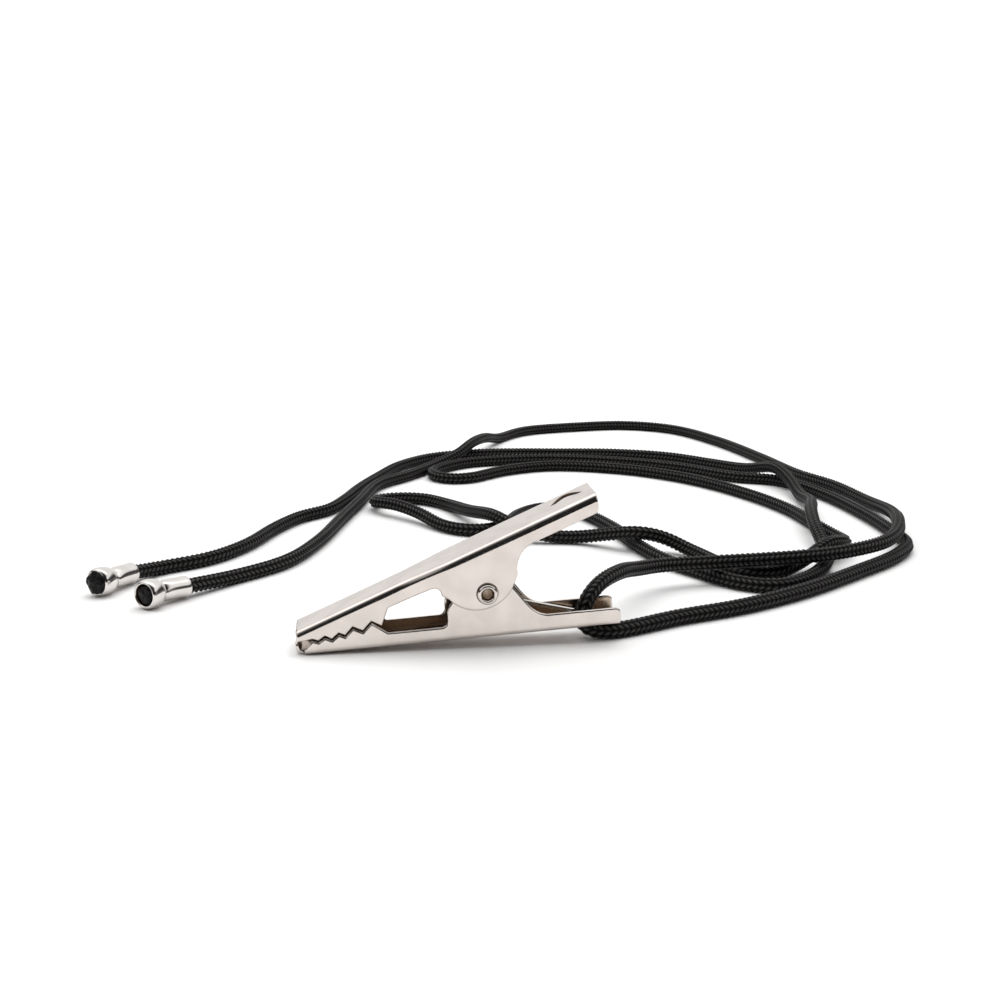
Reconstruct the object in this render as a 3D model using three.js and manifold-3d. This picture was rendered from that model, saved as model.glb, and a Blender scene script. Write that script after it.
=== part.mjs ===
// Spring clip on a long braided cord.
//
// A two-inch pressed-steel crocodile clip: two channel-shaped jaws on a hollow rivet, closed by a
// torsion spring. One length of thin braided cord is threaded through the hole in the clip's tail,
// lies behind the clip in loose loops, and carries a bell-mouthed metal ferrule on each end.
//
// Units are millimetres, +Z is up. The object stands on z = 0 with the middle of the clip at the origin:
// +X runs from the jaw tips to the tail, +Y away from the side that the rivet's head is seen from.
// The clip lies on its lower jaw, with the tail raised because the cord passes underneath it.

import * as THREE from 'three';
import { mergeVertices } from 'three/addons/utils/BufferGeometryUtils.js';
import Module from 'manifold-3d';

const wasm = await Module();
wasm.setup();

// ---------------------------------------------------------------- driving dimensions

const CLIP_LENGTH = 50.8;
const SHEET = 0.6;                  // thickness of the pressed steel
const CLEARANCE = 0.3;              // gap kept between neighbouring pieces
const CLIP_TILT = THREE.MathUtils.degToRad(3.45);

const JAW_WIDTH = 7.0;              // outside width of the lower jaw and of the upper jaw's toothed part
const LOWER_BEND_RADIUS = 0.9;
const UPPER_BEND_RADIUS = 1.15;
const NOSE_RADIUS = 1.25;           // curl at the front of the lower jaw
const NOSE_TOP = 2.05;
const TAIL_WALL_HEIGHT = 2.9;

const LEVER_ANGLE = THREE.MathUtils.degToRad(20.7);
const LEVER_LENGTH = 51.0;
const LEVER_FRONT = { along: 0.15, up: 3.95 };
const LIP_DEPTH = 1.65;             // how far the lever's folded front edge reaches below its top
const SPREAD = SHEET + CLEARANCE;   // how far each side of the upper jaw steps out, to pass the lower jaw
const SPREAD_START = 17.5;
const SPREAD_END = 23.0;

const PIVOT = { along: 29.95, up: 7.5 };
const RIVET_RADIUS = 1.2;
const RIVET_BORE_RADIUS = 0.85;
const RIVET_HEAD_RADIUS = 1.75;
const RIVET_HEAD_THICKNESS = 0.45;
const PIVOT_HOLE_RADIUS = RIVET_RADIUS + CLEARANCE;

const SPRING_WIRE = 0.8;
const SPRING_COIL_RADIUS = 2.1;
const SPRING_TURNS = 3;
const SPRING_PITCH = 1.15;
const SPRING_UPPER_LEG_ALONG = 39.5;
const SPRING_LOWER_LEG_ALONG = 44.2;

const CORD_DIAMETER = 2.6;
const CORD_SIDES = 8;
const CORD_HOLE_RADIUS = 1.7;
const CORD_HOLE_ALONG = 45.2;

const FERRULE_LENGTH = 9.25;
const FERRULE_TUBE_RADIUS = 1.62;
const FERRULE_BELL_RADIUS = 2.6;
const FERRULE_BELL_LENGTH = 3.4;
const FERRULE_SIDES = 28;
const CORD_TIP_RADIUS = 1.55;

const TOOTH_GAP = 0.35;
const ROUND_SIDES = 32;

// ---------------------------------------------------------------- materials

const nickel = () => new THREE.MeshStandardMaterial({ color: 0xcfc9c4, roughness: 0.25, metalness: 1.0 });
const springSteel = () => new THREE.MeshStandardMaterial({
  color: 0x8d8984, roughness: 0.35, metalness: 1.0,
});
const ferruleMetal = () => new THREE.MeshStandardMaterial({
  color: 0xdcd8d4, roughness: 0.15, metalness: 1.0,
});
const braid = () => new THREE.MeshStandardMaterial({ color: 0x141414, roughness: 0.8, metalness: 0.0 });
const melt = () => new THREE.MeshStandardMaterial({ color: 0x0c0c0c, roughness: 0.35, metalness: 0.0 });

// ---------------------------------------------------------------- solid helpers

function toManifold(geometry) {
  const bare = geometry.clone();
  bare.deleteAttribute('normal');
  bare.deleteAttribute('uv');
  const merged = mergeVertices(bare, 1e-4);
  return new wasm.Manifold(new wasm.Mesh({
    numProp: 3,
    vertProperties: new Float32Array(merged.attributes.position.array),
    triVerts: new Uint32Array(merged.index.array),
  }));
}

function toGeometry(solid) {
  const mesh = solid.getMesh();
  const geometry = new THREE.BufferGeometry();
  const positions = new Float32Array(mesh.numVert * 3);
  for (let i = 0; i < mesh.numVert; i++) {
    for (let k = 0; k < 3; k++) positions[3 * i + k] = mesh.vertProperties[mesh.numProp * i + k];
  }
  geometry.setAttribute('position', new THREE.BufferAttribute(positions, 3));
  geometry.setIndex(new THREE.BufferAttribute(new Uint32Array(mesh.triVerts), 1));
  return geometry;
}

function piece(name, geometry, material) {
  const mesh = new THREE.Mesh(geometry, material);
  mesh.name = name;
  return mesh;
}

// A side view drawn as (along, up), pulled across the clip from one value of y to another.
function acrossPrism(shape, fromY, toY, curveSegments = 10) {
  const geometry = new THREE.ExtrudeGeometry(shape, {
    depth: toY - fromY, bevelEnabled: false, curveSegments,
  });
  geometry.rotateX(Math.PI / 2);      // (x, y, depth) -> (x, -depth, y)
  geometry.translate(0, toY, 0);
  return geometry;
}

// A cylinder whose axis lies across the clip.
function acrossCylinder(radius, width, along, up) {
  const geometry = new THREE.CylinderGeometry(radius, radius, width, ROUND_SIDES);
  geometry.translate(along, 0, up);
  return geometry;
}

// The section of a bent channel: a flat base of the given width with two legs turned up.
function channelShape(width, legs, bendRadius) {
  const half = width / 2;
  const inner = half - SHEET;
  const innerBend = bendRadius - SHEET;
  const shape = new THREE.Shape();
  shape.moveTo(-half, legs);
  shape.lineTo(-half, bendRadius);
  shape.absarc(-half + bendRadius, bendRadius, bendRadius, Math.PI, 1.5 * Math.PI);
  shape.lineTo(half - bendRadius, 0);
  shape.absarc(half - bendRadius, bendRadius, bendRadius, 1.5 * Math.PI, 2 * Math.PI);
  shape.lineTo(half, legs);
  shape.lineTo(inner, legs);
  shape.lineTo(inner, bendRadius);
  shape.absarc(half - bendRadius, bendRadius, innerBend, 2 * Math.PI, 1.5 * Math.PI, true);
  shape.lineTo(-half + bendRadius, SHEET);
  shape.absarc(-half + bendRadius, bendRadius, innerBend, 1.5 * Math.PI, Math.PI, true);
  shape.lineTo(-inner, legs);
  return shape;
}

// The channel pulled along +X, with its base down.
function channel(width, legs, bendRadius, length, steps) {
  const geometry = new THREE.ExtrudeGeometry(channelShape(width, legs, bendRadius), {
    depth: length, bevelEnabled: false, steps, curveSegments: 5,
  });
  geometry.rotateY(Math.PI / 2);      // depth -> +X, section x -> -Z
  geometry.rotateX(Math.PI / 2);      // section x -> +Y, section y -> +Z
  return geometry;
}

// ---------------------------------------------------------------- lower jaw

// The tops of the lower jaw's teeth and the notches between them, from the tip back, as [along, up].
const TEETH = [
  [2.7, 2.24], [3.6, 1.86], [4.65, 2.54], [5.7, 1.95], [6.8, 2.84], [7.75, 2.33], [9.0, 3.6], [10.5, 2.8],
  [11.9, 4.2],
];
const TOOTH_BLOCK_START = [1.0, 0.6];
const WINDOW_FRONT = [14.3, 2.4];
const WINDOW_REAR = 23.6;
const EAR_RADIUS = 3.9;             // of the lower jaw's ear, about the pivot

function lowerOutline() {
  const shape = new THREE.Shape();
  shape.moveTo(NOSE_RADIUS, 0);
  shape.lineTo(CLIP_LENGTH - 0.5, 0);
  shape.lineTo(CLIP_LENGTH, 0.5);
  shape.lineTo(CLIP_LENGTH, TAIL_WALL_HEIGHT - 0.8);
  shape.absarc(CLIP_LENGTH - 0.8, TAIL_WALL_HEIGHT - 0.8, 0.8, 0, Math.PI / 2);
  shape.lineTo(39.2, TAIL_WALL_HEIGHT);
  shape.bezierCurveTo(36.9, TAIL_WALL_HEIGHT + 0.4, 36.0, 5.2, 34.0, 8.0);
  shape.absarc(PIVOT.along, PIVOT.up, EAR_RADIUS, 0.1, Math.PI * 0.98);
  shape.bezierCurveTo(25.6, 7.0, 23.7, 6.6, WINDOW_REAR, 4.0);
  shape.absarc(WINDOW_REAR - 1, WINDOW_FRONT[1] + 1, 1, 0, -Math.PI / 2, true);
  shape.lineTo(...WINDOW_FRONT);
  for (const point of [...TEETH].reverse()) shape.lineTo(...point);
  shape.lineTo(...TOOTH_BLOCK_START);
  shape.closePath();
  return shape;
}

// The floor of the channel curls up in front of the teeth and closes the jaw's mouth.
function noseShape() {
  const inner = NOSE_RADIUS - SHEET;
  const shape = new THREE.Shape();
  shape.moveTo(NOSE_RADIUS + 0.4, 0);
  shape.lineTo(NOSE_RADIUS, 0);
  shape.absarc(NOSE_RADIUS, NOSE_RADIUS, NOSE_RADIUS, 1.5 * Math.PI, Math.PI, true);
  shape.lineTo(0.2, NOSE_TOP - 0.15);
  shape.lineTo(0.45, NOSE_TOP);
  shape.lineTo(SHEET + 0.1, NOSE_TOP - 0.15);
  shape.lineTo(SHEET, NOSE_RADIUS);
  shape.absarc(NOSE_RADIUS, NOSE_RADIUS, inner, Math.PI, 1.5 * Math.PI);
  shape.lineTo(NOSE_RADIUS + 0.4, SHEET);
  return shape;
}

function lowerJaw() {
  const blankHeight = PIVOT.up + EAR_RADIUS + 1;
  const blank = toManifold(channel(JAW_WIDTH, blankHeight, LOWER_BEND_RADIUS, CLIP_LENGTH + 1, 1));
  const outline = toManifold(acrossPrism(lowerOutline(), -JAW_WIDTH, JAW_WIDTH));
  const nose = toManifold(acrossPrism(noseShape(), -JAW_WIDTH / 2 + 0.5, JAW_WIDTH / 2 - 0.5));
  const pivotHole = toManifold(acrossCylinder(PIVOT_HOLE_RADIUS, 2 * JAW_WIDTH, PIVOT.along, PIVOT.up));
  const cordHoleShape = new THREE.CylinderGeometry(CORD_HOLE_RADIUS, CORD_HOLE_RADIUS, 4, ROUND_SIDES);
  cordHoleShape.rotateX(Math.PI / 2);
  cordHoleShape.translate(CORD_HOLE_ALONG, 0, 0);
  const solid = blank.intersect(outline).add(nose).subtract(pivotHole).subtract(toManifold(cordHoleShape));
  return piece('lower_jaw', toGeometry(solid), nickel());
}

// ---------------------------------------------------------------- upper jaw and lever

const EAR_LOBE = { along: 28.6, up: 11.0, radius: 6.1 };
const GRIP_FILLET = { along: 39.3, up: 10.8, radius: 4.5 };

function upperOutline() {
  const shape = new THREE.Shape();
  const slope = Math.tan(LEVER_ANGLE);
  const topAt = (along) => LEVER_FRONT.up + slope * (along - LEVER_FRONT.along);
  shape.moveTo(LEVER_FRONT.along - 0.4, topAt(LEVER_FRONT.along) + 1);
  shape.lineTo(LEVER_FRONT.along + 0.1, LEVER_FRONT.up - LIP_DEPTH);
  shape.lineTo(1.6, LEVER_FRONT.up - LIP_DEPTH + 0.1);
  for (const [along, up] of TEETH) shape.lineTo(along, up + TOOTH_GAP);
  shape.lineTo(13.46, 3.6);
  shape.lineTo(14.6, 6.4);
  shape.lineTo(21.4, 8.85);
  shape.bezierCurveTo(22.4, 9.2, 22.8, 8.6, 23.0, 7.65);
  shape.absarc(EAR_LOBE.along, EAR_LOBE.up, EAR_LOBE.radius, Math.PI + 0.72, 2 * Math.PI - 0.45);
  const { along, up, radius } = GRIP_FILLET;
  shape.absarc(along, up, radius, Math.PI + 0.15, Math.PI / 2 + 0.2, true);
  shape.lineTo(47.4, 18.6);
  shape.quadraticCurveTo(47.9, 18.9, 47.9, 19.6);
  shape.lineTo(47.7, topAt(48) + 1);
  return shape;
}

// The lever's channel steps outwards between the teeth and the ears: the sides keep their thickness.
function spreadSides(geometry) {
  const position = geometry.attributes.position;
  for (let i = 0; i < position.count; i++) {
    const along = position.getX(i);
    const side = position.getY(i);
    const t = THREE.MathUtils.smoothstep(along, SPREAD_START, SPREAD_END);
    const flat = JAW_WIDTH / 2 - UPPER_BEND_RADIUS;
    const share = THREE.MathUtils.clamp(Math.abs(side) / flat, 0, 1);
    position.setY(i, side + Math.sign(side) * SPREAD * t * share);
  }
  return geometry;
}

function upperJaw() {
  const body = spreadSides(channel(JAW_WIDTH, 16, UPPER_BEND_RADIUS, LEVER_LENGTH + 1, 36));
  body.rotateX(Math.PI);              // legs down
  body.translate(-0.5, 0, 0);
  body.rotateY(-LEVER_ANGLE);
  body.translate(LEVER_FRONT.along, 0, LEVER_FRONT.up);

  const lip = new THREE.BoxGeometry(SHEET, JAW_WIDTH - 2 * UPPER_BEND_RADIUS, LIP_DEPTH);
  lip.translate(LEVER_FRONT.along + SHEET / 2 + 0.05, 0, LEVER_FRONT.up - LIP_DEPTH / 2 - 0.1);

  const outline = toManifold(acrossPrism(upperOutline(), -2 * JAW_WIDTH, 2 * JAW_WIDTH));
  const pivotHole = toManifold(acrossCylinder(PIVOT_HOLE_RADIUS, 4 * JAW_WIDTH, PIVOT.along, PIVOT.up));
  const solid = toManifold(body).add(toManifold(lip)).intersect(outline).subtract(pivotHole);
  return piece('upper_jaw', toGeometry(solid), nickel());
}

// ---------------------------------------------------------------- pivot rivet and spring

function rivet() {
  const inside = JAW_WIDTH / 2 + SPREAD + CLEARANCE;
  const end = inside + RIVET_HEAD_THICKNESS;
  const lip = 0.15;
  const profile = [
    [RIVET_BORE_RADIUS, -end + lip], [RIVET_BORE_RADIUS + lip, -end], [RIVET_HEAD_RADIUS - lip, -end],
    [RIVET_HEAD_RADIUS, -end + lip], [RIVET_HEAD_RADIUS - lip, -inside], [RIVET_RADIUS, -inside],
    [RIVET_RADIUS, inside], [RIVET_HEAD_RADIUS - lip, inside], [RIVET_HEAD_RADIUS, end - lip],
    [RIVET_HEAD_RADIUS - lip, end], [RIVET_BORE_RADIUS + lip, end], [RIVET_BORE_RADIUS, end - lip],
    [RIVET_BORE_RADIUS, -end + lip],
  ];
  const points = profile.map(([r, y]) => new THREE.Vector2(r, y));
  const geometry = new THREE.LatheGeometry(points, ROUND_SIDES);
  geometry.translate(PIVOT.along, 0, PIVOT.up);
  return piece('pivot_rivet', geometry, nickel());
}

class SpringCentreline extends THREE.Curve {
  // The coil winds about the pivot. Both legs run towards the tail: one up under the lever, the other
  // down to the lower jaw's floor, beside the cord hole.
  constructor() {
    super();
    const halfWidth = (SPRING_TURNS * SPRING_PITCH) / 2;
    const startAngle = THREE.MathUtils.degToRad(110);
    const endAngle = THREE.MathUtils.degToRad(275 + 360 * (SPRING_TURNS - 1));
    const place = (angle, y) => new THREE.Vector3(
      PIVOT.along + SPRING_COIL_RADIUS * Math.cos(angle), y, PIVOT.up + SPRING_COIL_RADIUS * Math.sin(angle));
    const underLever = SHEET + CLEARANCE + SPRING_WIRE / 2;
    const upperLegEnd = new THREE.Vector3(SPRING_UPPER_LEG_ALONG, -halfWidth, LEVER_FRONT.up
      + Math.tan(LEVER_ANGLE) * (SPRING_UPPER_LEG_ALONG - LEVER_FRONT.along)
      - underLever / Math.cos(LEVER_ANGLE));
    const lowerLegEnd = new THREE.Vector3(SPRING_LOWER_LEG_ALONG, halfWidth + 0.2,
      SHEET + CLEARANCE + SPRING_WIRE / 2);
    const points = [upperLegEnd, place(startAngle, -halfWidth).lerp(upperLegEnd, 0.5)];
    const steps = 10 * SPRING_TURNS;
    for (let i = 0; i <= steps; i++) {
      const t = i / steps;
      const angle = THREE.MathUtils.lerp(startAngle, endAngle, t);
      points.push(place(angle, THREE.MathUtils.lerp(-halfWidth, halfWidth, t)));
    }
    points.push(place(endAngle, halfWidth).lerp(lowerLegEnd, 0.5));
    points.push(lowerLegEnd);
    this.spline = new THREE.CatmullRomCurve3(points, false, 'centripetal');
  }

  getPoint(t, target) {
    return this.spline.getPoint(t, target);
  }
}

function circleShape(radius, sides) {
  const shape = new THREE.Shape();
  for (let i = 0; i < sides; i++) {
    const angle = (2 * Math.PI * (i + 0.5)) / sides;
    const x = radius * Math.cos(angle);
    const y = radius * Math.sin(angle);
    if (i === 0) shape.moveTo(x, y);
    else shape.lineTo(x, y);
  }
  shape.closePath();
  return shape;
}

function tubeAlong(curve, radius, sides, steps) {
  const section = circleShape(radius, sides);
  return new THREE.ExtrudeGeometry(section, { steps, extrudePath: curve, bevelEnabled: false });
}

function torsionSpring() {
  const geometry = tubeAlong(new SpringCentreline(), SPRING_WIRE / 2, 8, 64);
  return piece('torsion_spring', geometry, springSteel());
}

// ---------------------------------------------------------------- cord

// The cord's centreline, one point per bend or crossing. Where two lengths cross, the upper one passes
// over the lower in a long low hump. A point without a height lies on the ground.
const LIE = CORD_DIAMETER / 2;
const onGround = ([x, y, z = LIE]) => new THREE.Vector3(x, y, z);

// From the top of the tail hole, round the right-hand side and along the back, to the near ferrule.
const UPPER_ROUTE = [
  [19.8, 0, 2.95], [20.2, 0.4, 5.1], [22.8, 3.1, 7.5], [27.8, 9.6, 7.7], [33, 17.8, 5.7], [39, 23.4, 4.5],
  [47, 24.8, 4.2], [67, 26.7, 4.2], [76, 29.4, 4.2], [85, 34.6, 4.2], [90.6, 41.8, 4.2], [94.3, 50, 4.3],
  [97.9, 62, 3], [99.5, 78], [97.8, 94], [93.6, 107], [91, 126], [86, 152], [78, 171], [66, 178.5],
  [50, 177.5], [35, 173], [26.5, 163], [21.3, 152, 3.6], [16.6, 142, 4.2], [12, 134.5, 2.8],
  [5.8, 128, 1.5], [-1.5, 117.5], [-9, 108.5], [-13.7, 92], [-18, 76], [-22.5, 59], [-28.5, 44.8],
  [-37, 36.4], [-45, 28.8, 2],
].map(onGround);

// From under the tail, out to the right, back, round the hidden turn at the left, and forward again.
const LOOP_ROUTE = [
  [19.2, -0.2], [24, -1.2], [37, 4.2], [49, 8.4], [62, 15.3], [76, 25.4], [87.2, 34.4], [92.9, 42],
  [94.2, 53], [94.2, 68], [91.7, 88], [86, 101.5], [77.5, 106], [66.8, 118], [53, 127], [36, 132.5],
  [22, 132.5], [14.2, 130.7], [8.6, 126.4], [4.7, 120.8], [5.1, 115.6], [8.8, 112.6], [13.6, 113.2],
  [18.2, 117], [22.8, 120.6], [35, 124.5], [52, 118.5], [64.5, 107.3], [73.5, 91.8], [79.4, 73],
  [80.4, 58], [81.5, 47],
  [78.7, 39.5, 2.9], [73.5, 34.4, 4.3], [67.5, 30.6, 2.2], [61.5, 27], [56, 27.4], [52.8, 32], [51, 38],
].map(onGround);

// On from there: behind the lever, round the small loop at the left, back to the right and round the
// far side to the far ferrule.
const RETURN_ROUTE = [
  [51, 38], [48.8, 43.6, 1.5], [45, 47, 3], [40.3, 47.2, 4.1], [35.5, 51, 3], [30, 55, 1.5],
  [23.5, 56.3, 1.5], [17.5, 58.5, 2.9], [13.5, 64, 4.1], [9.5, 74.5, 2.6], [5.8, 86], [0.8, 92.2],
  [-5.2, 93.9], [-10, 91.2, 1.6], [-10.3, 86.3, 2.3], [-6.5, 81.9, 2.8], [-1.5, 76, 2.2], [2.8, 68.6],
  [7.3, 64.1], [12.6, 63.9], [16.8, 68.4], [19.9, 75], [25.8, 80.6], [31.6, 79.5], [35, 72.5],
  [38, 61.5], [40.3, 46.5], [43, 36.5],
  [47.6, 28.6], [52, 21.8], [58.3, 18.7], [66, 23], [72.5, 32], [75.6, 40.5],
].map(onGround);

const LAST_ROUTE = [
  [75.6, 40.5], [77, 50, 3.3], [79.8, 60.5, 4.2], [84, 72, 3.2], [86, 84, 1.7], [86.8, 94, 3.2],
  [85.8, 102, 4.3], [82, 112, 2], [76, 122], [67, 131.5], [54, 137.5], [38, 140], [26, 141.6],
  [16, 141.4], [5.6, 138], [-3, 129], [-8.6, 117], [-13.4, 105], [-17.2, 93], [-21, 84.5],
  [-26.5, 79.5], [-31.5, 70.5], [-36.5, 58], [-43, 48.9], [-51.5, 43.6], [-55.8, 38.6, 2],
].map(onGround);

// A tube whose steps follow the route's own points, so that a bend has more steps than a straight.
// Both ends stop short, to leave the gap to the next piece.
function cordTube(name, route, shortStart, shortEnd) {
  const points = route.map((p) => p.clone());
  const pullIn = (end, next, gap) => end.lerp(next, gap / end.distanceTo(next));
  pullIn(points[0], points[1], shortStart);
  pullIn(points[points.length - 1], points[points.length - 2], shortEnd);
  const curve = new THREE.CatmullRomCurve3(points, false, 'centripetal');
  curve.getUtoTmapping = (u) => u;
  return piece(name, tubeAlong(curve, CORD_DIAMETER / 2, CORD_SIDES, points.length - 1), braid());
}

// ---------------------------------------------------------------- ferrules

// A ferrule lies on the cord's last stretch: the tube grips the cord and the bell opens at the end.
function ferruleProfile() {
  const bellStart = FERRULE_LENGTH - FERRULE_BELL_LENGTH;
  const bore = CORD_DIAMETER / 2 + CLEARANCE;
  const mouth = CORD_TIP_RADIUS + CLEARANCE;
  const outer = new THREE.CatmullRomCurve3([
    [FERRULE_TUBE_RADIUS + 0.3, bellStart - 0.5], [FERRULE_TUBE_RADIUS + 0.42, bellStart + 0.2],
    [FERRULE_BELL_RADIUS - 0.05, bellStart + 1.3], [FERRULE_BELL_RADIUS, bellStart + 2.1],
    [FERRULE_BELL_RADIUS - 0.2, FERRULE_LENGTH - 0.5], [mouth + 0.15, FERRULE_LENGTH],
  ].map(([r, y]) => new THREE.Vector3(r, y, 0))).getPoints(10);
  return [
    new THREE.Vector2(bore, 0), new THREE.Vector2(FERRULE_TUBE_RADIUS + 0.3, 0),
    ...outer.map((p) => new THREE.Vector2(p.x, p.y)),
    new THREE.Vector2(mouth, FERRULE_LENGTH - 0.2), new THREE.Vector2(mouth, bellStart + 0.6),
    new THREE.Vector2(bore, bellStart), new THREE.Vector2(bore, 0),
  ];
}

function tipProfile() {
  const start = FERRULE_LENGTH - FERRULE_BELL_LENGTH + 1.0;
  const end = FERRULE_LENGTH + 0.5;
  const rim = CORD_TIP_RADIUS;
  return [[0, start], [rim, start], [rim, end - 0.6], [rim - 0.5, end], [0, end]]
    .map(([r, y]) => new THREE.Vector2(r, y));
}

// route ends inside the ferrule's tube; mouth is where the ferrule's axis leaves the bell.
function endFitting(label, route, mouth) {
  const tail = route[route.length - 1];
  const direction = mouth.clone().sub(tail).normalize();
  const turn = new THREE.Quaternion().setFromUnitVectors(new THREE.Vector3(0, 1, 0), direction);
  const group = new THREE.Group();
  group.position.copy(tail);
  group.quaternion.copy(turn);
  const sleeve = new THREE.LatheGeometry(ferruleProfile(), FERRULE_SIDES);
  group.add(piece(`${label}_ferrule`, sleeve, ferruleMetal()));
  group.add(piece(`${label}_cord_tip`, new THREE.LatheGeometry(tipProfile(), 16), melt()));
  return group;
}

// ---------------------------------------------------------------- assembly

const clip = new THREE.Group();
clip.add(lowerJaw(), upperJaw(), rivet(), torsionSpring());
clip.rotation.y = -CLIP_TILT;
clip.updateMatrixWorld(true);
const clipBox = new THREE.Box3().setFromObject(clip, true);
const clipMiddle = clipBox.getCenter(new THREE.Vector3());
clip.position.set(-clipMiddle.x, 0, -clipBox.min.z);

const NEAR_MOUTH = new THREE.Vector3(-51.4, 22.3, FERRULE_BELL_RADIUS + 0.05);
const FAR_MOUTH = new THREE.Vector3(-61.0, 30.4, FERRULE_BELL_RADIUS + 0.05);

const object = new THREE.Group();
object.add(clip);
object.add(cordTube('cord_upper', UPPER_ROUTE, 0, 0));
object.add(cordTube('cord_loop', LOOP_ROUTE, 0, CLEARANCE / 2));
object.add(cordTube('cord_return', RETURN_ROUTE, CLEARANCE / 2, CLEARANCE / 2));
object.add(cordTube('cord_last', LAST_ROUTE, CLEARANCE / 2, 0));
object.add(endFitting('near', UPPER_ROUTE, NEAR_MOUTH));
object.add(endFitting('far', LAST_ROUTE, FAR_MOUTH));

export default object;
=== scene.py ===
"""An alligator clip on a long black braided cord, with a metal ferrule on each end of the cord.

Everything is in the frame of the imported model: X runs along the clip from the jaw tips to the
tail, Y away from the camera, Z up from the surface that the clip lies on. Shapes are written in
millimetres and built in metres.
"""

import math

import bmesh
import bpy
from mathutils import Matrix, Vector, noise
from mathutils.geometry import tessellate_polygon


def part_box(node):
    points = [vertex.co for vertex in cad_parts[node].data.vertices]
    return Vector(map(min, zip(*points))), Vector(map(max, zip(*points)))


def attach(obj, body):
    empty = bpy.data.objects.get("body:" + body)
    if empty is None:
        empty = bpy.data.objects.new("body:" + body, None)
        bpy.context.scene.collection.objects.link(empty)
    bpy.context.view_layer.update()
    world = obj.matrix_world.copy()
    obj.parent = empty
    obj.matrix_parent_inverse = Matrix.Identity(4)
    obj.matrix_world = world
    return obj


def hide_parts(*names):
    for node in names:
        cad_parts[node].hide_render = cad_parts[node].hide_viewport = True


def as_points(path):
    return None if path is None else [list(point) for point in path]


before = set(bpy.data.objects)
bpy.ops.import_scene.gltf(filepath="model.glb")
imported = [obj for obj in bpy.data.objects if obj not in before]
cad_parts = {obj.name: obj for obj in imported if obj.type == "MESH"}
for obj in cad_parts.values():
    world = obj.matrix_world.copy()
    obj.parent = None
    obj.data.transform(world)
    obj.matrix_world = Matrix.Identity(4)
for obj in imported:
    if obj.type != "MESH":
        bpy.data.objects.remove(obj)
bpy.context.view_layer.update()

MM = 0.001

# ------------------------------------------------------------------ camera

CAMERA_PLACE = Vector((-17.1, -194.0, 70.0)) * MM
CAMERA_DOWN = math.radians(13.54)
CAMERA_TURN = math.radians(-7.0)
CAMERA_LENS = 46.8


def make_camera():
    data = bpy.data.cameras.new("camera")
    data.sensor_width = 36.0
    data.lens = CAMERA_LENS
    data.clip_start = 0.01
    data.clip_end = 20.0
    camera = bpy.data.objects.new("camera", data)
    camera.location = CAMERA_PLACE
    camera.rotation_euler = (math.radians(90) - CAMERA_DOWN, 0.0, CAMERA_TURN)
    bpy.context.scene.collection.objects.link(camera)
    bpy.context.scene.camera = camera


make_camera()

# ------------------------------------------------------------------ helpers


def link(name, mesh):
    """A new object for the mesh, in the scene."""
    piece = bpy.data.objects.new(name, mesh)
    bpy.context.scene.collection.objects.link(piece)
    return piece


def mesh_from(name, vertices, faces):
    """A smooth-shaded mesh."""
    mesh = bpy.data.meshes.new(name)
    mesh.from_pydata([tuple(v) for v in vertices], [], faces)
    mesh.update()
    mesh.shade_smooth()
    return mesh


def turn_faces_out(mesh, merge=None):
    """Point every face outwards, after merging the vertices that are closer than a distance."""
    solid = bmesh.new()
    solid.from_mesh(mesh)
    if merge:
        bmesh.ops.remove_doubles(solid, verts=solid.verts[:], dist=merge)
    bmesh.ops.recalc_face_normals(solid, faces=solid.faces)
    solid.to_mesh(mesh)
    solid.free()


class Nodes:
    """A short way to write a node tree: values and sockets can both be given as inputs."""

    def __init__(self, tree):
        self.tree = tree
        tree.nodes.clear()

    def add(self, kind, inputs=None, **settings):
        node = self.tree.nodes.new(kind)
        for key, value in settings.items():
            setattr(node, key, value)
        for key, value in (inputs or {}).items():
            socket = node.inputs[key]
            if isinstance(value, bpy.types.NodeSocket):
                self.tree.links.new(value, socket)
            else:
                socket.default_value = value
        return node

    def math(self, operation, *values):
        node = self.add("ShaderNodeMath", dict(enumerate(values)), operation=operation)
        return node.outputs[0]

    def mix(self, factor, low, high):
        node = self.add("ShaderNodeMix", data_type="RGBA")
        for index, value in ((0, factor), (6, low), (7, high)):
            if isinstance(value, bpy.types.NodeSocket):
                self.tree.links.new(value, node.inputs[index])
            else:
                node.inputs[index].default_value = value
        return node.outputs[2]

    def noise(self, place, scale, detail):
        inputs = {"Vector": place, "Scale": scale, "Detail": detail}
        return self.add("ShaderNodeTexNoise", inputs).outputs[0]

    def ramp(self, value, stops):
        node = self.add("ShaderNodeValToRGB", {0: value})
        ramp = node.color_ramp
        while len(ramp.elements) > len(stops):
            ramp.elements.remove(ramp.elements[-1])
        while len(ramp.elements) < len(stops):
            ramp.elements.new(1.0)
        for element, (place, colour) in zip(ramp.elements, stops):
            element.position = place
            element.color = colour if len(colour) == 4 else (*colour, 1.0)
        return node.outputs[0]


def new_material(name):
    material = bpy.data.materials.new(name)
    material.use_nodes = True
    return material, Nodes(material.node_tree)


# ------------------------------------------------------------------ cord

CORD_DIAMETER = 2.6
CORD_RADIUS = CORD_DIAMETER / 2

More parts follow.
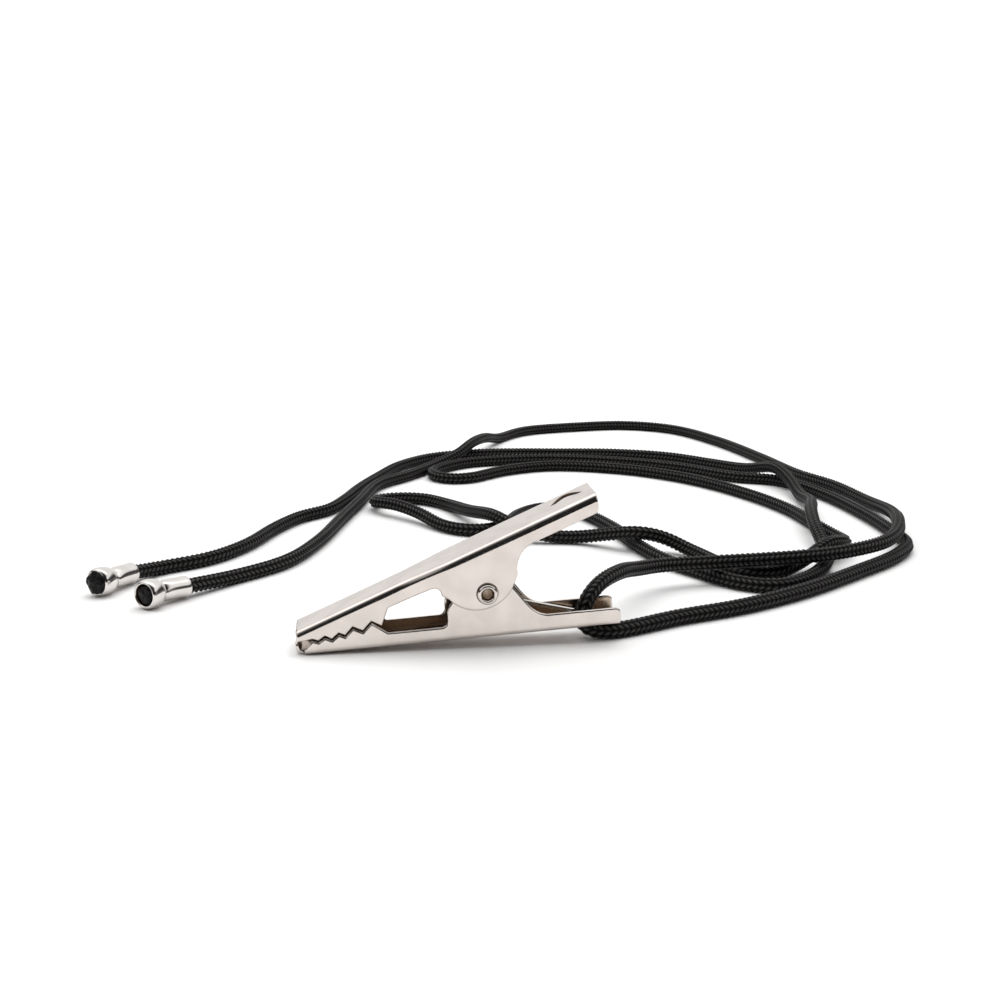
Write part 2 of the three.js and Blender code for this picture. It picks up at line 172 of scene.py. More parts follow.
# The cord's centreline, as points along each bend and over each crossing. A point without a
# height lies on the surface. The cord is one length, parted in the tail hole.
UPPER_ROUTE = [
    (19.8, 0, 2.95), (20.2, 0.4, 5.1), (22.8, 3.1, 7.5), (27.8, 9.6, 7.7), (33, 17.8, 5.7),
    (39, 23.4, 4.5), (47, 24.8, 4.2), (67, 26.7, 4.2), (76, 29.4, 4.2), (85, 34.6, 4.2),
    (90.6, 41.8, 4.2), (94.3, 50, 4.3), (97.9, 62, 3), (99.5, 78), (97.8, 94), (93.6, 107),
    (91, 126), (86, 152), (78, 171), (66, 178.5), (50, 177.5), (35, 173), (26.5, 163),
    (21.3, 152, 3.6), (16.6, 142, 4.2), (12, 134.5, 2.8), (5.8, 128, 1.5), (-1.5, 117.5),
    (-9, 108.5), (-13.7, 92), (-18, 76), (-22.5, 59), (-28.5, 44.8), (-37, 36.4), (-45, 28.8, 2),
]
LOWER_ROUTE = [
    (19.8, 0, 2.9), (20.1, -0.3, 1.6), (24, -1.2), (37, 4.2), (49, 8.4), (62, 15.3), (76, 25.4),
    (87.2, 34.4), (92.9, 42), (94.2, 53), (94.2, 68), (91.7, 88), (86, 101.5), (77.5, 106),
    (66.8, 118), (53, 127), (36, 132.5), (22, 132.5), (14.2, 130.7), (8.6, 126.4), (4.7, 120.8),
    (5.1, 115.6), (8.8, 112.6), (13.6, 113.2), (18.2, 117), (22.8, 120.6), (35, 124.5),
    (52, 118.5), (64.5, 107.3), (73.5, 91.8), (79.4, 73), (80.4, 58), (81.5, 47),
    (78.7, 39.5, 2.9), (73.5, 34.4, 4.3), (67.5, 30.6, 2.2), (61.5, 27), (56, 27.4), (52.8, 32),
    (51, 38), (48.8, 43.6, 1.5), (45, 47, 3), (40.3, 47.2, 4.1), (35.5, 51, 3), (30, 55, 1.5),
    (23.5, 56.3, 1.5), (17.5, 58.5, 2.9), (13.5, 64, 4.1), (9.5, 74.5, 2.6), (5.8, 86),
    (0.8, 92.2), (-5.2, 93.9), (-10, 91.2, 1.6), (-10.3, 86.3, 2.3), (-6.5, 81.9, 2.8),
    (-1.5, 76, 2.2), (2.8, 68.6), (7.3, 64.1), (12.6, 63.9), (16.8, 68.4), (19.9, 75),
    (25.8, 80.6), (31.6, 79.5), (35, 72.5), (38, 61.5), (40.3, 46.5), (43, 36.5), (47.6, 28.6),
    (52, 21.8), (58.3, 18.7), (66, 23), (72.5, 32), (75.6, 40.5), (77, 50, 3.3),
    (79.8, 60.5, 4.2), (84, 72, 3.2), (86, 84, 1.7), (86.8, 94, 3.2), (85.8, 102, 4.3),
    (82, 112, 2), (76, 122), (67, 131.5), (54, 137.5), (38, 140), (26, 141.6), (16, 141.4),
    (5.6, 138), (-3, 129), (-8.6, 117), (-13.4, 105), (-17.2, 93), (-21, 84.5), (-26.5, 79.5),
    (-31.5, 70.5), (-36.5, 58), (-43, 48.9), (-51.5, 43.6), (-55.8, 38.6, 2),
]

BRAID_STITCH = 1.0 * MM
BRAID_COLUMNS = 8
BRAID_RELIEF = 0.36 * MM
# The braid height at which the cord has its stated radius.
BRAID_LEVEL = 0.75
STITCH_LEAN = 0.85
ACROSS_POWER = 0.7
STITCH_POWER = 0.8
CORD_SIDES = 40
PATH_SPACING = 0.4 * MM
RING_SPACING = 0.15 * MM
ROUTE_SMOOTHING = 1.6 * MM
FRAME_PATH_STEP = 10


def route_point(point):
    """A route's point with its height filled in."""
    return (point[0], point[1], point[2] if len(point) > 2 else CORD_RADIUS)


def centripetal(points, per_span=24):
    """Points along the centripetal Catmull-Rom curve through the given ones."""
    ends = [2 * points[0] - points[1], *points, 2 * points[-1] - points[-2]]
    made = []
    for before, start, end, after in zip(ends, ends[1:], ends[2:], ends[3:]):
        knots = [0.0]
        for a, b in ((before, start), (start, end), (end, after)):
            knots.append(knots[-1] + math.sqrt((b - a).length))
        t0, t1, t2, t3 = knots
        for step in range(per_span):
            t = t1 + (t2 - t1) * step / per_span
            a1 = before.lerp(start, (t - t0) / (t1 - t0))
            a2 = start.lerp(end, (t - t1) / (t2 - t1))
            a3 = end.lerp(after, (t - t2) / (t3 - t2))
            b1 = a1.lerp(a2, (t - t0) / (t2 - t0))
            b2 = a2.lerp(a3, (t - t1) / (t3 - t1))
            made.append(b1.lerp(b2, (t - t1) / (t2 - t1)))
    made.append(points[-1].copy())
    return made


def respaced(points, spacing):
    """The same line with its points the given distance apart."""
    total = sum((b - a).length for a, b in zip(points, points[1:]))
    count = max(2, round(total / spacing))
    step = total / count
    made = [points[0].copy()]
    walked = 0.0
    for a, b in zip(points, points[1:]):
        span = (b - a).length
        while len(made) < count and walked + span >= step * len(made):
            made.append(a.lerp(b, (step * len(made) - walked) / span))
        walked += span
    made.append(points[-1].copy())
    return made


def smoothed(points, width, spacing):
    """The line with its kinks rounded off, its ends kept."""
    passes = round(2 * (width / spacing) ** 2)
    line = [p.copy() for p in points]
    for _ in range(passes):
        inner = [(a + 2 * b + c) / 4 for a, b, c in zip(line, line[1:], line[2:])]
        line = [line[0], *inner, line[-1]]
    return line


def cord_line(route):
    """The smoothed centreline of a route, in metres."""
    points = [Vector(route_point(point)) * MM for point in route]
    line = respaced(centripetal(points), PATH_SPACING)
    line = smoothed(line, ROUTE_SMOOTHING, PATH_SPACING)
    return respaced(line, RING_SPACING)


def carried_frames(line):
    """A sideways direction for each point, carried along the line without twist."""
    tangents = [(b - a).normalized() for a, b in zip(line, line[1:])]
    tangents.append(tangents[-1])
    side = tangents[0].orthogonal().normalized()
    frames = []
    for tangent in tangents:
        side = (side - tangent * side.dot(tangent)).normalized()
        frames.append((side, tangent.cross(side)))
    return frames


def braid_height(along, around):
    """How far the braid stands out, 0 to 1. Columns side by side lean opposite ways."""
    column, across = divmod(around * BRAID_COLUMNS, 1.0)
    lean = STITCH_LEAN * (across - 0.5) * (1 if column % 2 else -1)
    stitch = math.sin(math.pi * ((along / BRAID_STITCH + lean) % 1.0))
    return max(0.0, math.sin(math.pi * across)) ** ACROSS_POWER * stitch ** STITCH_POWER


def tube_mesh(name, line, radius, sides, relief=0.0):
    """A closed tube with a UV map: u counts braid stitches along it, v goes once round it."""
    frames = carried_frames(line)
    spacing = (line[1] - line[0]).length
    vertices = []
    for ring, (centre, (side, up)) in enumerate(zip(line, frames)):
        for k in range(sides):
            angle = 2 * math.pi * k / sides
            out = radius
            if relief:
                out += relief * (braid_height(ring * spacing, k / sides) - BRAID_LEVEL)
            vertices.append(centre + out * (math.cos(angle) * side + math.sin(angle) * up))
    faces = []
    for ring in range(len(line) - 1):
        for k in range(sides):
            a = ring * sides + k
            b = ring * sides + (k + 1) % sides
            faces.append((a, b, b + sides, a + sides))
    faces.append(tuple(reversed(range(sides))))
    faces.append(tuple((len(line) - 1) * sides + k for k in range(sides)))
    mesh = mesh_from(name, vertices, faces)
    layer = mesh.uv_layers.new(name="along")
    for face in mesh.polygons[:-2]:
        ring, k = divmod(face.index, sides)
        corners = ((ring, k), (ring, k + 1), (ring + 1, k + 1), (ring + 1, k))
        for loop, (along, around) in zip(face.loop_indices, corners):
            layer.data[loop].uv = (along * spacing / BRAID_STITCH, around / sides)
    return mesh


# The braid's colour is painted light: painted shade in the grooves between the stitches and a
# painted highlight on the stitch crowns.
YARN_PAINTED_GROOVE_SHADE = (0.0034, 0.0032, 0.0031, 1)
YARN_PAINTED_CROWN_HIGHLIGHT = (0.058, 0.054, 0.051, 1)
SHEEN_IN_GROOVES = 0.07
SHEEN_ON_CROWNS = 0.34


def braid_material():
    """Black yarn with fine fibres on each stitch; painted shade between stitches, painted highlight
    on crowns.
    """
    material, n = new_material("black_braid")
    uv = n.add("ShaderNodeUVMap", uv_map="along").outputs[0]
    split = n.add("ShaderNodeSeparateXYZ", {0: uv})
    along, around = split.outputs[0], n.math("MULTIPLY", split.outputs[1], float(BRAID_COLUMNS))
    column = n.math("FRACT", around)
    odd = n.math("MODULO", n.math("FLOOR", around), 2.0)
    sign = n.math("SUBTRACT", n.math("MULTIPLY", odd, 2.0), 1.0)
    tilt = n.math("MULTIPLY", n.math("SUBTRACT", column, 0.5), sign)
    lean = n.math("MULTIPLY", tilt, STITCH_LEAN)
    stitch = n.math("FRACT", n.math("ADD", along, lean))
    across = n.math("SINE", n.math("MULTIPLY", column, math.pi))
    crown = n.math("SINE", n.math("MULTIPLY", stitch, math.pi))
    height = n.math("MULTIPLY", n.math("POWER", across, ACROSS_POWER),
                    n.math("POWER", crown, STITCH_POWER))
    strands = n.math("SINE", n.math("MULTIPLY", stitch, 8 * math.pi))
    place = n.add("ShaderNodeTexCoord").outputs["Object"]
    fibres = n.noise(place, 9000.0, 2.0)
    relief = n.math("ADD", n.math("MULTIPLY", strands, 0.12), n.math("MULTIPLY", fibres, 0.3))
    bump = n.add("ShaderNodeBump", {"Height": relief, "Strength": 0.8, "Distance": 0.10 * MM})
    patches = n.noise(place, 160.0, 3.0)
    # Painted highlight on the stitch crowns, made uneven by noise patches; the specular level
    # follows it too.
    painted_highlight = n.math("MULTIPLY", n.math("POWER", height, 3.0),
                   n.math("ADD", n.math("MULTIPLY", patches, 0.5), 0.7))
    sheen = n.math("ADD", SHEEN_IN_GROOVES, n.math("MULTIPLY", painted_highlight, SHEEN_ON_CROWNS))
    colour = n.mix(painted_highlight, YARN_PAINTED_GROOVE_SHADE, YARN_PAINTED_CROWN_HIGHLIGHT)
    shader = n.add("ShaderNodeBsdfPrincipled", {
        "Base Color": colour, "Roughness": 0.42, "Specular IOR Level": sheen,
        "Normal": bump.outputs[0],
    })
    n.add("ShaderNodeOutputMaterial", {0: shader.outputs[0]})
    return material


BRAID = braid_material()


def make_cord(name, route, nodes):
    """The braided tube along a route, and its centreline."""
    line = cord_line(route)
    piece = link(name, tube_mesh(name, line, CORD_RADIUS * MM, CORD_SIDES, BRAID_RELIEF))
    piece.data.materials.append(BRAID)
    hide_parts(*nodes)
    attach(piece, "clip_base")
    return piece, line


def declare_cord(piece, line):
    """Work out the cord's length and a thinned list of its centreline points; neither is kept."""
    length = sum((b - a).length for a, b in zip(line, line[1:]))
    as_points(line[::FRAME_PATH_STEP])


upper_cord, upper_line = make_cord("braided_cord_upper", UPPER_ROUTE, ["cord_upper"])
lower_cord, lower_line = make_cord(
    "braided_cord_lower", LOWER_ROUTE, ["cord_loop", "cord_return", "cord_last"])

# ------------------------------------------------------------------ materials


def metal_material(name, colour, roughness, clouds=0.06, scratches=0.05):
    """Plated metal: faint clouds in the gloss and fine scratches mostly along the piece."""
    material, n = new_material(name)
    place = n.add("ShaderNodeTexCoord").outputs["Object"]
    cloud = n.noise(place, 260.0, 4.0)
    drawn_out = n.add("ShaderNodeMapping", {"Vector": place, "Scale": (400.0, 6000.0, 6000.0)})
    lines = n.noise(drawn_out.outputs[0], 1.0, 3.0)
    pits = n.noise(place, 3500.0, 2.0)
    gloss = n.math("ADD", roughness - clouds / 2, n.math("MULTIPLY", cloud, clouds))
    gloss = n.math("ADD", gloss, n.math("MULTIPLY", lines, scratches))
    dark = tuple(0.9 * c for c in colour)
    clouded = n.ramp(cloud, [(0.38, (0, 0, 0)), (0.62, (1, 1, 1))])
    tint = n.mix(clouded, (*dark, 1), (*colour, 1))
    relief = n.math("ADD", n.math("MULTIPLY", lines, 0.6), n.math("MULTIPLY", pits, 0.4))
    bump = n.add("ShaderNodeBump", {"Height": relief, "Strength": 0.25, "Distance": 0.004 * MM})
    shader = n.add("ShaderNodeBsdfPrincipled", {
        "Base Color": tint, "Metallic": 1.0, "Roughness": gloss, "Normal": bump.outputs[0],
    })
    n.add("ShaderNodeOutputMaterial", {0: shader.outputs[0]})
    return material


NICKEL = metal_material("nickel_plate", (0.695, 0.635, 0.595), 0.12)
# The sheet's cut face is a brighter metal than the plate: a painted highlight along the edges.
SHEARED_PAINTED_HIGHLIGHT = metal_material("sheared_edge_painted_highlight", (0.92, 0.88, 0.84), 0.25)
# Darker, browner metal on the sheet's inner faces and the rivet's bore: painted shade in the
# hollows.
INSIDE_PAINTED_SHADE = metal_material("nickel_inside_painted_shade", (0.47, 0.38, 0.30), 0.22)
# Dark brown metal for the crescent slot's rim: painted shade in the slot.
SLOT_PAINTED_SHADE = metal_material("slot_rim_painted_shade", (0.10, 0.07, 0.05), 0.4)
SPRING = metal_material("spring_wire", (0.62, 0.58, 0.54), 0.22)
FERRULE = metal_material("ferrule_plate", (0.74, 0.71, 0.68), 0.10)
# Darker, browner metal inside the ferrule's bore and bell: painted shade.
FERRULE_INSIDE_PAINTED_SHADE = metal_material("ferrule_inside_painted_shade", (0.42, 0.33, 0.25), 0.35)

# ------------------------------------------------------------------ the clip's frame

CLIP_LENGTH = 50.8
SHEET = 0.6
CLIP_TILT = math.radians(3.45)
NOSE_RADIUS = 1.25
NOSE_TOP = 2.05
TAIL_CHAMFER = 0.5
HOLE_STEPS = 35

# The clip's own axes: along from the jaw tips, across away from the camera, up from the lower
# jaw's floor.
TAIL_END = CLIP_LENGTH * math.cos(CLIP_TILT) - TAIL_CHAMFER * math.sin(CLIP_TILT)
CLIP_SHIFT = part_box("lower_jaw")[1][0] / MM - TAIL_END
CLIP_DROP = NOSE_RADIUS * (math.sin(CLIP_TILT) + math.cos(CLIP_TILT) - 1)


def from_clip(along, across, up):
    """A point given in the clip's own axes in millimetres, in the shared frame in metres."""
    x = along * math.cos(CLIP_TILT) - up * math.sin(CLIP_TILT) + CLIP_SHIFT
    z = along * math.sin(CLIP_TILT) + up * math.cos(CLIP_TILT) - CLIP_DROP
    return Vector((x, across, z)) * MM


def arc(centre, radius, start, end, steps=12):
    """Points on an arc, from one angle in degrees to another."""
    made = []
    for i in range(steps + 1):
        angle = math.radians(start + (end - start) * i / steps)
        made.append((centre[0] + radius * math.cos(angle), centre[1] + radius * math.sin(angle)))
    return made


def round_hole(centre, radius):
    """Points round a circle, the last one a step short of the first."""
    return arc(centre, radius, 0, 350, HOLE_STEPS)


def bezier(*control, steps=10):
    """Points on the Bezier curve of the given control points."""
    made = []
    for i in range(steps + 1):
        t = i / steps
        points = [Vector(p) for p in control]
        while len(points) > 1:
            points = [a.lerp(b, t) for a, b in zip(points, points[1:])]
        made.append(tuple(points[0]))
    return made


def smoothstep(value, low, high):
    t = min(1.0, max(0.0, (value - low) / (high - low)))
    return t * t * (3 - 2 * t)


# ------------------------------------------------------------------ folded sheet metal

# A flat pattern is drawn as (along, turn). A turn from -1 to 1 is the flat base, from 1 to 2 the
# bend at its edge, and beyond 2 the side wall, in millimetres from the bend.
BEND_STEPS = 10
ACROSS_CUTS = [k / 4 for k in range(-3, 4)]
BEND_CUTS = [sign * (1 + k / BEND_STEPS) for sign in (-1, 1) for k in range(BEND_STEPS + 1)]
EDGE_ROUNDING = 0.27
ROUNDING_STEPS = 4
SHEET_LOOKS = (NICKEL, SHEARED_PAINTED_HIGHLIGHT, INSIDE_PAINTED_SHADE, SLOT_PAINTED_SHADE)
LOOK_NICKEL, LOOK_PAINTED_EDGE_HIGHLIGHT, LOOK_INSIDE_PAINTED_SHADE, LOOK_SLOT_PAINTED_SHADE = range(len(SHEET_LOOKS))


def without_repeats(points):
    made = []
    for point in points:
        if not made or (Vector(point) - Vector(made[-1])).length > 1e-4:
            made.append(point)
    return made


def ring_area(ring):
    """Twice the area inside a ring of points, positive when it runs counter-clockwise."""
    return sum(a[0] * b[1] - b[0] * a[1] for a, b in zip(ring, ring[1:] + ring[:1]))


def outward(before, point, after, stretch):
    """How far a point of the pattern's edge moves per millimetre that the edge moves outwards.

    The sheet is on the left of the edge. One step of turn is stretch(along, turn) millimetres.
    """
    scale = stretch(point[0], point[1])
    total = Vector((0.0, 0.0))
    normals = []
    for a, b in ((before, point), (point, after)):
        run = Vector((b[0] - a[0], (b[1] - a[1]) * scale))
        if run.length > 1e-6:
            normals.append(Vector((run.y, -run.x)) / run.length)
            total += normals[-1]
    if total.length < 1e-6:
        return (0.0, 0.0)
    total.normalize()
    reach = 1 / max(0.5, total.dot(normals[0]))
    return (total.x * reach, total.y * reach / scale)


def flat_mesh(outline, holes, along_cuts, stretch):
    """The flat pattern, drawn in by the rim's rounding and cut small enough to be folded."""
    rings = []
    for ring, sign in ((outline, 1), *((hole, -1) for hole in holes)):
        ring = without_repeats(ring)
        if ring_area(ring) * sign < 0:
            ring = ring[::-1]
        inset = []
        for before, point, after in zip(ring[-1:] + ring, ring, ring[1:] + ring[:1]):
            out = outward(before, point, after, stretch)
            inset.append(Vector((point[0] - EDGE_ROUNDING * out[0],
                                 point[1] - EDGE_ROUNDING * out[1], 0)))
        rings.append(inset)
    flat = bmesh.new()
    vertices = [flat.verts.new(point) for ring in rings for point in ring]
    for triangle in tessellate_polygon(rings):
        flat.faces.new([vertices[i] for i in triangle])
    cuts = [((0, m, 0), (0, 1, 0)) for m in ACROSS_CUTS + BEND_CUTS]
    cuts += [((a, 0, 0), (1, 0, 0)) for a in along_cuts]
    for place, normal in cuts:
        everything = [*flat.verts, *flat.edges, *flat.faces]
        bmesh.ops.bisect_plane(flat, geom=everything, dist=1e-5, plane_co=place, plane_no=normal)
    bmesh.ops.dissolve_degenerate(flat, dist=1e-4, edges=flat.edges[:])
    for face in flat.faces:
        face.normal_update()
        if face.normal.z < 0:
            face.normal_flip()
    return flat


def rim_section():
    """The sheet's cut edge from its outer face to its inner one, as (how far out, depth)."""
    quarter = []
    for i in range(ROUNDING_STEPS + 1):
        angle = math.pi / 2 * i / ROUNDING_STEPS
        quarter.append((EDGE_ROUNDING * math.sin(angle), EDGE_ROUNDING * (1 - math.cos(angle))))
    return quarter + [(out, SHEET - depth) for out, depth in reversed(quarter)]


def folded_sheet(name, outline, holes, along_cuts, fold, stretch, lanced=None):
    """The pattern folded up and given its thickness; fold(along, turn, depth) gives a place.

    Where lanced(along, turn) says the sheet was lanced, not sheared, the rim gets painted shade.
    """
    flat = flat_mesh(outline, holes, along_cuts, stretch)
    solid = bmesh.new()
    section = rim_section()
    outer = {v: solid.verts.new(fold(v.co.x, v.co.y, 0.0)) for v in flat.verts}
    inner = {v: solid.verts.new(fold(v.co.x, v.co.y, SHEET)) for v in flat.verts}
    for face in flat.faces:
        corners = list(face.verts)
        solid.faces.new([outer[v] for v in corners]).material_index = LOOK_NICKEL
        # The inner face gets the painted shade of the hollows.
        solid.faces.new([inner[v] for v in reversed(corners)]).material_index = LOOK_INSIDE_PAINTED_SHADE
    rims = [edge.link_loops[0] for edge in flat.edges if edge.is_boundary]
    after = {loop.vert: loop.link_loop_next.vert for loop in rims}
    before = {second: first for first, second in after.items()}
    column = {}
    for v in after:
        out = outward(before[v].co, v.co, after[v].co, stretch)
        between = [
            solid.verts.new(fold(v.co.x + reach * out[0], v.co.y + reach * out[1], depth))
            for reach, depth in section[1:-1]
        ]
        column[v] = [outer[v], *between, inner[v]]
    for v, following in after.items():
        for row in range(len(section) - 1):
            quad = (column[following][row], column[v][row],
                    column[v][row + 1], column[following][row + 1])
            # The cut face between the two roundings gets the painted edge highlight.
            edge_look = LOOK_PAINTED_EDGE_HIGHLIGHT if row == ROUNDING_STEPS else LOOK_NICKEL
            # Painted shade on the rim of the crescent slot.
            painted_slot_shade = lanced is not None and lanced(v.co.x, v.co.y)
            solid.faces.new(quad).material_index = LOOK_SLOT_PAINTED_SHADE if painted_slot_shade else edge_look
    bmesh.ops.recalc_face_normals(solid, faces=solid.faces)
    mesh = bpy.data.meshes.new(name)
    solid.to_mesh(mesh)
    flat.free()
    solid.free()
    mesh.shade_smooth()
    mesh.set_sharp_from_angle(angle=math.radians(40))
    for material in SHEET_LOOKS:
        mesh.materials.append(material)
    piece = link(name, mesh)
    normals = piece.modifiers.new("normals", "WEIGHTED_NORMAL")
    normals.weight = 90
    normals.keep_sharp = True
    return piece


def placed(piece, node, body):
    """Hide the CAD node that the piece stands for and fasten the piece to the body it rides on."""
    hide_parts(node)
    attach(piece, body)
    return piece


# ------------------------------------------------------------------ lower jaw

HALF_WIDTH = 3.5
LOWER_BEND = 0.9
TAIL_WALL = 2.9
PIVOT = (29.95, 7.5)
EAR_RADIUS = 3.9
PIVOT_HOLE = 1.5
CORD_HOLE_ALONG = 45.2
CORD_HOLE_RADIUS = 1.7
WINDOW_FRONT = (14.3, 2.4)
WINDOW_REAR = 23.6
TEETH = [
    (2.7, 2.24), (3.6, 1.86), (4.65, 2.54), (5.7, 1.95), (6.8, 2.84), (7.75, 2.33), (9.0, 3.6),
    (10.5, 2.8), (11.9, 4.2),
]
LOWER_FLOOR = HALF_WIDTH - LOWER_BEND
NOSE_ARC = NOSE_RADIUS * math.pi / 2
NOSE_END = NOSE_RADIUS - NOSE_ARC - (NOSE_TOP - NOSE_RADIUS)
# The nose's half width and how far its corners draw it in, as turns, and the corners' length.
NOSE_SIDE = 0.98
NOSE_TAPER = 0.32
NOSE_CORNER = 0.8
TAIL_CORNER = 0.8


def lower_turn(up):
    """The turn at which the lower jaw's wall reaches a height."""
    if up >= LOWER_BEND:
        return 2 + up - LOWER_BEND
    return 1 + math.degrees(math.acos(1 - up / LOWER_BEND)) / 90


def stretch_lower(along, turn):
    """How many millimetres one step of turn is, the same all along the lower jaw."""
    return (LOWER_FLOOR, LOWER_BEND * math.pi / 2, 1.0)[min(2, int(abs(turn)))]


def fold_lower(along, turn, depth):
    """The lower jaw's fold: the floor, its two bends and walls, and the nose curled up in front."""
    side = math.copysign(1, turn)
    amount = abs(turn)
    reach = LOWER_BEND - depth
    if amount > 2:
        return from_clip(along, side * (HALF_WIDTH - depth), LOWER_BEND + amount - 2)
    if amount > 1:
        angle = math.radians(90 * (amount - 1))
        return from_clip(along, side * (LOWER_FLOOR + reach * math.sin(angle)),
                         LOWER_BEND - reach * math.cos(angle))
    across = turn * LOWER_FLOOR
    if along >= NOSE_RADIUS:
        return from_clip(along, across, depth)
    angle = min(math.pi / 2, (NOSE_RADIUS - along) / NOSE_RADIUS)
    rise = max(0.0, NOSE_RADIUS - along - NOSE_ARC)
    reach = NOSE_RADIUS - depth
    return from_clip(NOSE_RADIUS - reach * math.sin(angle), across,
                     NOSE_RADIUS - reach * math.cos(angle) + rise)


def lower_jaw():
    side = arc((CLIP_LENGTH - TAIL_CORNER, TAIL_WALL - TAIL_CORNER), TAIL_CORNER, 0, 90, 6)
    side += bezier((39.2, TAIL_WALL), (36.9, TAIL_WALL + 0.4), (36.0, 5.2), (34.0, 8.0))
    side += arc(PIVOT, EAR_RADIUS, 6, 176, 24)
    side += bezier(side[-1], (25.6, 7.0), (23.7, 6.6), (WINDOW_REAR, 4.0))
    side += arc((WINDOW_REAR - 1, WINDOW_FRONT[1] + 1), 1, 0, -90, 8)
    side += [WINDOW_FRONT, *reversed(TEETH), (1.4, LOWER_BEND + 0.1), (1.4, 0.5)]
    half = [(CLIP_LENGTH, 1), (CLIP_LENGTH, 2)]
    half += [(along, lower_turn(up)) for along, up in side]
    half += [(NOSE_RADIUS, NOSE_SIDE)]
    for k in range(7):
        t = math.radians(15 * k)
        half.append((NOSE_END + NOSE_CORNER * (1 - math.sin(t)),
                     NOSE_SIDE - NOSE_TAPER * (1 - math.cos(t))))
    outline = half + [(a, -m) for a, m in reversed(half)]
    cord_hole = round_hole((CORD_HOLE_ALONG, 0), CORD_HOLE_RADIUS)
    holes = [[(along, across / LOWER_FLOOR) for along, across in cord_hole]]
    for sign in (1, -1):
        pivot_hole = round_hole(PIVOT, PIVOT_HOLE)
        holes.append([(along, sign * lower_turn(up)) for along, up in pivot_hole])
    cuts = [NOSE_RADIUS - 0.2 * k for k in range(14)] + [4.0 * k for k in range(1, 13)]
    piece = folded_sheet("pressed_lower_jaw", outline, holes, cuts, fold_lower, stretch_lower)
    return placed(piece, "lower_jaw", "clip_base")


# ------------------------------------------------------------------ lever with the upper jaw

LEVER_ANGLE = math.radians(20.8)
LEVER_FRONT = (0.15, 3.86)
LEVER_END = 50.85
TOOTH_GAP = 0.35
SPREAD = 0.9
SPREAD_RANGE = (17.0, 26.6)
LEVER_BENDS = (1.1, 1.45)
LIP_RADIUS = 0.75
LIP_START = 0.52
LIP_TURN = math.pi / 2 - LEVER_ANGLE
LIP_STRAIGHT = 1.08
# The lip's half width at its edge and how much wider it starts, as turns, and its corners' length.
LIP_SIDE = 0.76
LIP_TAPER = 0.2
LIP_CORNER = 0.6
EAR_LOBE = ((28.6, 11.0), 6.1)
GRIP_FILLET = ((39.3, 10.8), 4.5)


def lever_bend(along):
    """The radius of the bend between the lever's top and its sides."""
    return LEVER_BENDS[0] + (LEVER_BENDS[1] - LEVER_BENDS[0]) * along / LEVER_END


def lever_half(along):
    """Half the lever's width, which grows where the sides pass outside the lower jaw's ears."""
    return HALF_WIDTH + SPREAD * smoothstep(along, *SPREAD_RANGE)


def lever_place(along, across, depth):
    """A point given along the lever's top, across it and down from it."""
    forward = along * math.cos(LEVER_ANGLE) + depth * math.sin(LEVER_ANGLE)
    up = along * math.sin(LEVER_ANGLE) - depth * math.cos(LEVER_ANGLE)
    return from_clip(LEVER_FRONT[0] + forward, across, LEVER_FRONT[1] + up)


def lever_pattern(point, sign=1):
    """The flat pattern's place of a point on the lever's side, given as (along, up) in the clip."""
    along, up = point[0] - LEVER_FRONT[0], point[1] - LEVER_FRONT[1]
    a = along * math.cos(LEVER_ANGLE) + up * math.sin(LEVER_ANGLE)
    depth = along * math.sin(LEVER_ANGLE) - up * math.cos(LEVER_ANGLE)
    return a, sign * (2 + depth - lever_bend(a))


def stretch_lever(along, turn):
    """How many millimetres one step of turn is at a place along the lever."""
    bend = lever_bend(along)
    return (lever_half(along) - bend, bend * math.pi / 2, 1.0)[min(2, int(abs(turn)))]


def fold_lever(along, turn, depth):
    """The lever's fold: the top, its two bends and sides, and the lip turned down in front."""
    side = math.copysign(1, turn)
    amount = abs(turn)
    bend = lever_bend(along)
    half = lever_half(along)
    reach = bend - depth
    if amount > 2:
        return lever_place(along, side * (half - depth), bend + amount - 2)
    if amount > 1:
        angle = math.radians(90 * (amount - 1))
        return lever_place(along, side * (half - bend + reach * math.sin(angle)),
                           bend - reach * math.cos(angle))
    across = turn * (half - bend)
    if along >= LIP_START:
        return lever_place(along, across, depth)
    angle = min(LIP_TURN, (LIP_START - along) / LIP_RADIUS)
    straight = max(0.0, LIP_START - along - LIP_RADIUS * LIP_TURN)
    reach = LIP_RADIUS - depth
    return lever_place(LIP_START - reach * math.sin(angle) - straight * math.cos(LIP_TURN), across,
                       LIP_RADIUS - reach * math.cos(angle) + straight * math.sin(LIP_TURN))


CRESCENT = (44.2, 48.7)
CRESCENT_RISE = 2.1
CRESCENT_WIDTH = 1.15


# Marks the rim round the crescent slot, which gets painted shade.
def in_crescent(along, turn):
    return abs(turn) < 0.95 and CRESCENT[0] - 1 < along < CRESCENT[1] + 1


def crescent():
    """A curved slot lanced through the lever's top at the handle, pointed at both ends."""
    steps = 16
    outer, inner = [], []
    for i in range(steps + 1):
        t = i / steps
        along = CRESCENT[0] + (CRESCENT[1] - CRESCENT[0]) * t
        bow = math.sin(math.pi * t)
        outer.append((along, CRESCENT_RISE * bow))
        inner.append((along, CRESCENT_RISE * bow - CRESCENT_WIDTH * bow ** 0.6))
    ring = outer + inner[-2:0:-1]
    return [(a, v / (lever_half(a) - lever_bend(a))) for a, v in ring]


